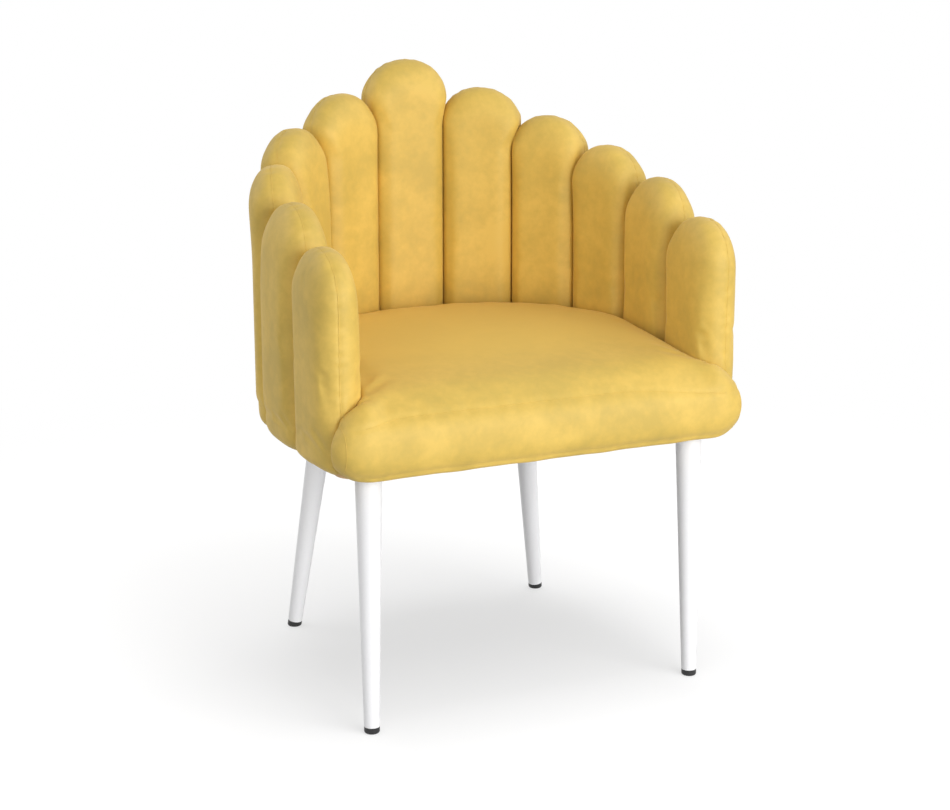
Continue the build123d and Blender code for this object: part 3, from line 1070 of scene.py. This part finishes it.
        scale = 1 / np.maximum((around**p + fore**p) ** (1 / p), 1.0)
        nose = (fore > 0) | (end > 0)
        y[:] = np.where(fore > 0, self.front + roll - fore * roll * scale, y)
        x[:] = np.where(end > 0, np.sign(x) * (self.nose_half - self.end_roll * (1 - end * scale)), x)
        height = np.where(tall > 0, crown - middle, middle - self.bottom)
        z[:] = np.where(nose, middle + tall * height * scale, z)
        hem = 1 - smooth_step(z, self.bottom, self.bottom + self.hem_height)
        z += self.hem_wave * self.hem_ripple.at(x) * hem
        set_points(piece, points)

    def press(self, piece: Piece) -> None:
        """Presses the pad's sides flush against the petals round it.

        Args:
            piece: swollen seat.
        """
        points = points_of(piece)
        back = np.maximum(points[:, 1] - self.line.centre_y, 0.0)
        radial = np.maximum(np.hypot(points[:, 0], back), 1e-6)
        limit = self.edge + self.beside_arm(points[:, 1])
        squeezed = squeeze(radial, limit, self.press_round)
        share = np.where(points[:, 1] > self.nose_back, squeezed / radial, 1.0)
        points[:, 0] *= share
        points[:, 1] = np.where(back > 0, self.line.centre_y + back * share, points[:, 1])
        set_points(piece, points)

    def fit(self, piece: Piece) -> None:
        """Draws the smoothed nose back out to the seat's width, front and lower edge.

        Args:
            piece: swollen seat.
        """
        points = points_of(piece)
        inner = self.edge - self.fit_inside
        aside = np.abs(points[:, 0])
        widest = aside.max()
        stretched = inner + (aside - inner) * (self.nose_half - inner) / (widest - inner)
        points[:, 0] = np.sign(points[:, 0]) * np.where(aside > inner, stretched, aside)
        behind = self.nose_back
        share = (self.front - behind) / (points[:, 1].min() - behind)
        points[:, 1] = np.where(points[:, 1] < behind, behind + (points[:, 1] - behind) * share, points[:, 1])
        low = points[:, 2].min()
        points[:, 2] += (self.bottom - low) * (1 - smooth_step(points[:, 2], low, low + self.fit_height))
        set_points(piece, points)

    def seam_level(self, x: np.ndarray) -> np.ndarray:
        """Gives the height of the front seam, which sags towards its ends, more on the right.

        Args:
            x: places across the seat.

        Returns:
            The seam's height at each place.
        """
        right = self.seam_sag * smooth_step(x, *self.right_sag)
        left = self.left_sag_share * self.seam_sag * smooth_step(-x, *self.left_sag)
        return self.seam_height - (right + left)

    def draw_seam(self, piece: Piece) -> None:
        """Sinks the cloth a little along the front seam.

        Args:
            piece: fitted seat.
        """
        points = points_of(piece)
        away = np.abs(points[:, 2] - self.seam_level(points[:, 0]))
        dip = self.seam_dip * np.exp(-((away / self.seam_dip_reach) ** 2))
        ripple = self.seam_wave * self.seam_ripple.at(points[:, 0])
        lift = ripple * np.exp(-((away / self.seam_wave_reach) ** 2)) - dip
        lift = np.where(points[:, 1] < self.seam_back, lift, 0.0)
        set_points(piece, points + normals_of(piece) * lift[:, None])

    def paint_nap_light(self, piece: Piece) -> None:
        """Lays the nap of the top panel, from the front seam to the back and between the gussets: painted
        light that makes its colour brighter and fuller.

        Args:
            piece: seat with its seams.
        """
        points = points_of(piece)
        above = smooth_step(points[:, 2] - self.seam_level(points[:, 0]), -self.nap_fade, self.nap_fade)
        between = smooth_step(self.reach - np.abs(points[:, 0]), -self.nap_fade, self.nap_fade)
        behind = smooth_step(points[:, 1] - self.front, 0.0, self.nap_reach)
        # the attribute mixes a lighter, fuller colour into the velvet: painted light, not a different cloth
        layer = piece.data.attributes.new(NAP_PAINTED_LIGHT, "FLOAT", "POINT")
        layer.data.foreach_set("value", (self.nap * above * between * behind).astype(np.float32))

    def seams(self, piece: Piece) -> list[Piece]:
        """Ridges of the front seam and of the gussets at the nose's ends.

        Args:
            piece: fitted seat.

        Returns:
            The three ridges.
        """
        rays = []
        for k in range(self.seam_rays + 1):
            x = (self.reach - self.seam_end) * (2 * k / self.seam_rays - 1)
            level = float(self.seam_level(np.float64(x)))
            rays.append((Vector((x, self.seam_back, level)), Vector((0, -1, 0))))
        ridges = [lay_ridge(piece, rays, self.seam_radius)]
        middle = (self.bottom + self.seam_height) / 2
        for side in Side:
            start = Vector((side.value * self.reach, self.nose_back - self.gusset_inside, middle))
            ring = []
            for k in range(self.gusset_rays + 1):
                turn = math.radians(self.gusset_start + self.gusset_turn * k / self.gusset_rays)
                ring.append((start, Vector((0, math.cos(turn), math.sin(turn)))))
            ridges.append(lay_ridge(piece, ring, self.seam_radius))
        return ridges

    def build(self, velvet: Material) -> None:
        """Makes the seat.

        Args:
            velvet: its material.
        """
        piece = self.carve()
        self.stuffing.cover(piece)
        self.crown(piece)
        self.stuffing.relax(piece)
        points = points_of(piece)
        pad, nose = self.pad_bottom + self.held_pad, self.bottom + self.held_nose
        held_below = np.where(points[:, 1] > self.nose_back, pad, nose)
        self.stuffing.swell(piece, (points[:, 2] < held_below).astype(float))
        self.fit(piece)
        self.press(piece)
        self.stuffing.refine(piece)
        self.draw_seam(piece)
        join(piece, *self.seams(piece))
        self.paint_nap_light(piece)
        finish_piece(piece, "seat_cushion", velvet)
        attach(piece, BODY)
        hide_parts("seat_cover", "seat_foam")
        LOG.info("seat: %d faces", len(piece.data.polygons))


@dataclass
class DustCover:
    """Black cloth stapled under the seat board, sagging a little between the leg plates."""

    line: PetalLine
    sag: float = 0.003
    rows: int = 56
    thickness: float = 0.0005
    tip: float = 0.004
    tacked: Pair = (0.004, 0.060)
    plates: tuple[str, ...] = ("front_left", "front_right", "back_left", "back_right")

    def build(self, cloth: Material) -> None:
        """Makes the cloth.

        Args:
            cloth: its material.
        """
        low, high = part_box("dust_cover")
        radius = high.x
        deselect()
        bpy.ops.mesh.primitive_grid_add(x_subdivisions=self.rows, y_subdivisions=self.rows, size=2.0)
        piece = bpy.context.object
        points = points_of(piece)
        turn = (points[:, 1] + 1) / 2
        arms = (self.line.centre_y - low.y) / (self.line.centre_y - low.y + radius * math.pi / 2)
        round_part = np.clip((turn - arms) / (1 - arms), 0.0, 1.0) * math.pi / 2
        y = np.where(
            turn < arms,
            low.y + (self.line.centre_y - low.y) * turn / arms,
            self.line.centre_y + radius * np.sin(round_part),
        )
        x = points[:, 0] * radius * np.maximum(np.cos(round_part), self.tip)
        slack = (1 - points[:, 0] ** 2) * (1 - points[:, 1] ** 2)
        for name in self.plates:
            near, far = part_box(f"leg_plate_{name}")
            gap_x = np.maximum(np.maximum(near.x - x, x - far.x), 0.0)
            gap_y = np.maximum(np.maximum(near.y - y, y - far.y), 0.0)
            slack *= smooth_step(np.hypot(gap_x, gap_y), *self.tacked)
        z = high.z - self.thickness - self.sag * slack
        set_points(piece, np.stack([x, y, z], axis=1))
        apply_modifier(piece, "SOLIDIFY", thickness=self.thickness, offset=1.0)
        finish_piece(piece, "dust_cloth", cloth)
        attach(piece, BODY)
        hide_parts("dust_cover")
        LOG.info("dust cover: %d faces", len(piece.data.polygons))


@dataclass(frozen=True)
class Hardware:
    """The rigid CAD pieces that stay: legs, plates, feet, boards and fixings."""

    def dress(self) -> None:
        """Gives every rigid piece the finish of its slot."""
        finishes = {
            "white_steel": POWDER_COAT.material(),
            "black_plastic": BLACK_ABS.material(),
            "plywood": BIRCH.material(),
            "zinc_steel": ZINC.material(),
            "foam": FOAM.material(),
        }
        for part in frame["record"]["subparts"]:
            finish = finishes.get(part["material_slot"])
            if finish is None:
                continue
            piece = frame["nodes"][part["node"]]
            piece.data.materials.clear()
            piece.data.materials.append(finish)
            LOG.info("%s: %s", part["node"], finish.name)


@dataclass(frozen=True)
class SoftBox:
    """A rectangular studio lamp that lights either the chair or the floor."""

    name: str
    place: Triple
    power: float
    size: Pair = (2.2, 2.0)
    reach: Reach = Reach.CHAIR

    def hang(self, aim: Triple, floor: Piece) -> None:
        """Hangs the lamp so that it faces the chair.

        Args:
            aim: the point it faces.
            floor: the studio's floor.
        """
        data = bpy.data.lights.new(self.name, "AREA")
        data.shape = "RECTANGLE"
        data.size, data.size_y = self.size
        data.energy = self.power
        lamp = bpy.data.objects.new(self.name, data)
        bpy.context.scene.collection.objects.link(lamp)
        lamp.location = self.place
        lamp.rotation_euler = (Vector(aim) - Vector(self.place)).to_track_quat("-Z", "Y").to_euler()
        lit = bpy.data.collections.new(f"lit_by_{self.name}")
        lit.objects.link(floor)
        lit.collection_objects[0].light_linking.link_state = self.reach.value
        lamp.light_linking.receiver_collection = lit


LAMPS = (
    SoftBox("key", (0.82, -3.06, 0.90), 83.0),
    SoftBox("left", (-2.24, -2.24, 0.90), 20.0),
    SoftBox("right", (2.41, -0.43, 2.51), 24.0),
    SoftBox("behind", (-2.01, 1.69, 2.29), 26.0),
    SoftBox("overhead", (0.0, 0.0, 3.2), 87.0, (2.0, 2.0), Reach.FLOOR),
    SoftBox("sweep", (0.5, -1.5, 3.0), 54.0, (1.6, 1.6), Reach.FLOOR),
)


@dataclass(frozen=True)
class Studio:
    """White sweep, soft light from the front and the camera at the photograph's angle."""

    azimuth: float = math.radians(-24.519)
    elevation: float = math.radians(14.808)
    eye: Triple = (-1.1620, -2.5634, 1.1193)
    lens: float = 76.45
    sensor: float = 36.0
    far: float = 60.0
    aim: Triple = (0.0, 0.0, 0.45)
    floor_half: float = 8.0
    paper: str = "#F2F2F2"
    fill: float = 0.37
    glow: float = 0.64
    sweep_near: float = 0.75
    sweep_far: float = 1.7

    def camera(self) -> None:
        """Sets the camera where the photograph was taken."""
        data = bpy.data.cameras.new("camera")
        data.lens = self.lens
        data.sensor_width = self.sensor
        data.clip_end = self.far
        camera = bpy.data.objects.new("camera", data)
        bpy.context.scene.collection.objects.link(camera)
        a, e = self.azimuth, self.elevation
        back = Vector((math.sin(a) * math.cos(e), -math.cos(a) * math.cos(e), math.sin(e)))
        right = Vector((math.cos(a), math.sin(a), 0.0))
        up = back.cross(right)
        turn = Matrix((right, up, back)).transposed().to_4x4()
        camera.matrix_world = Matrix.Translation(self.eye) @ turn
        bpy.context.scene.camera = camera

    def seen(self, tree: Tree) -> Socket:
        """Says whether a ray comes from the camera, or by a mirror or a glass from it.

        Args:
            tree: node tree that takes the test.

        Returns:
            1 for such a ray, else 0.
        """
        path = add_node(tree, "ShaderNodeLightPath").outputs
        seen = path["Is Camera Ray"]
        for name in ("Is Glossy Ray", "Is Transmission Ray"):
            either = add_node(tree, "ShaderNodeMath", {"operation": "MAXIMUM"}, {0: seen, 1: path[name]})
            seen = either.outputs[0]
        return seen

    def world(self) -> None:
        """White to the eye, a dim even fill to everything else."""
        world = bpy.data.worlds.new("studio")
        bpy.context.scene.world = world
        world.use_nodes = True
        tree = world.node_tree
        tree.nodes.clear()
        fill = add_node(tree, "ShaderNodeBackground", inputs={"Color": WHITE, "Strength": self.fill})
        white = add_node(tree, "ShaderNodeBackground", inputs={"Color": WHITE, "Strength": 1.0})
        mixed = add_node(
            tree,
            "ShaderNodeMixShader",
            inputs={0: self.seen(tree), 1: fill.outputs[0], 2: white.outputs[0]},
        )
        add_node(tree, "ShaderNodeOutputWorld", inputs={"Surface": mixed.outputs[0]})

    def floor(self) -> Piece:
        """White floor that keeps the chair's shadow.

        Returns:
            The floor.
        """
        deselect()
        bpy.ops.mesh.primitive_plane_add(size=2 * self.floor_half, location=(0.0, 0.0, 0.0))
        floor = bpy.context.object
        floor.name = "studio_floor"
        material, tree, place = new_material("white_paper_sweep")
        paper = add_node(tree, "ShaderNodeBsdfDiffuse", inputs={"Color": linear(self.paper)})
        glow = add_node(tree, "ShaderNodeEmission", inputs={"Color": WHITE, "Strength": self.seen(tree)})
        away = add_node(tree, "ShaderNodeVectorMath", {"operation": "LENGTH"}, {0: place})
        fade = add_node(
            tree,
            "ShaderNodeMapRange",
            {"interpolation_type": "SMOOTHSTEP"},
            {
                "Value": away.outputs["Value"],
                "From Min": self.sweep_near,
                "From Max": self.sweep_far,
                "To Min": self.glow,
                "To Max": 1.0,
            },
        )
        dim = add_node(
            tree,
            "ShaderNodeMixShader",
            inputs={0: fade.outputs["Result"], 1: paper.outputs[0], 2: glow.outputs[0]},
        )
        finish_material(tree, dim)
        floor.data.materials.append(material)
        return floor

    def build(self) -> None:
        """Sets camera, world, floor and lamps."""
        self.camera()
        self.world()
        floor = self.floor()
        for lamp in LAMPS:
            lamp.hang(self.aim, floor)
        bpy.context.scene.view_settings.view_transform = "Standard"


def main() -> None:
    """Builds the chair piece by piece and then the studio."""
    logging.basicConfig(level=logging.INFO, format="%(name)s: %(message)s")
    line = PetalLine.from_frame()
    velvet = Velvet().material()
    for index in range(LAST_PETAL + 1):
        Petal(index, line, Stuffing(furthest=0.003, voxel=0.005)).build(velvet)
    Seat(line, Stuffing(furthest=0.004)).build(velvet)
    DustCover(line).build(SPUNBOND.material())
    Hardware().dress()
    Studio().build()


if __name__ == "__main__":
    main()
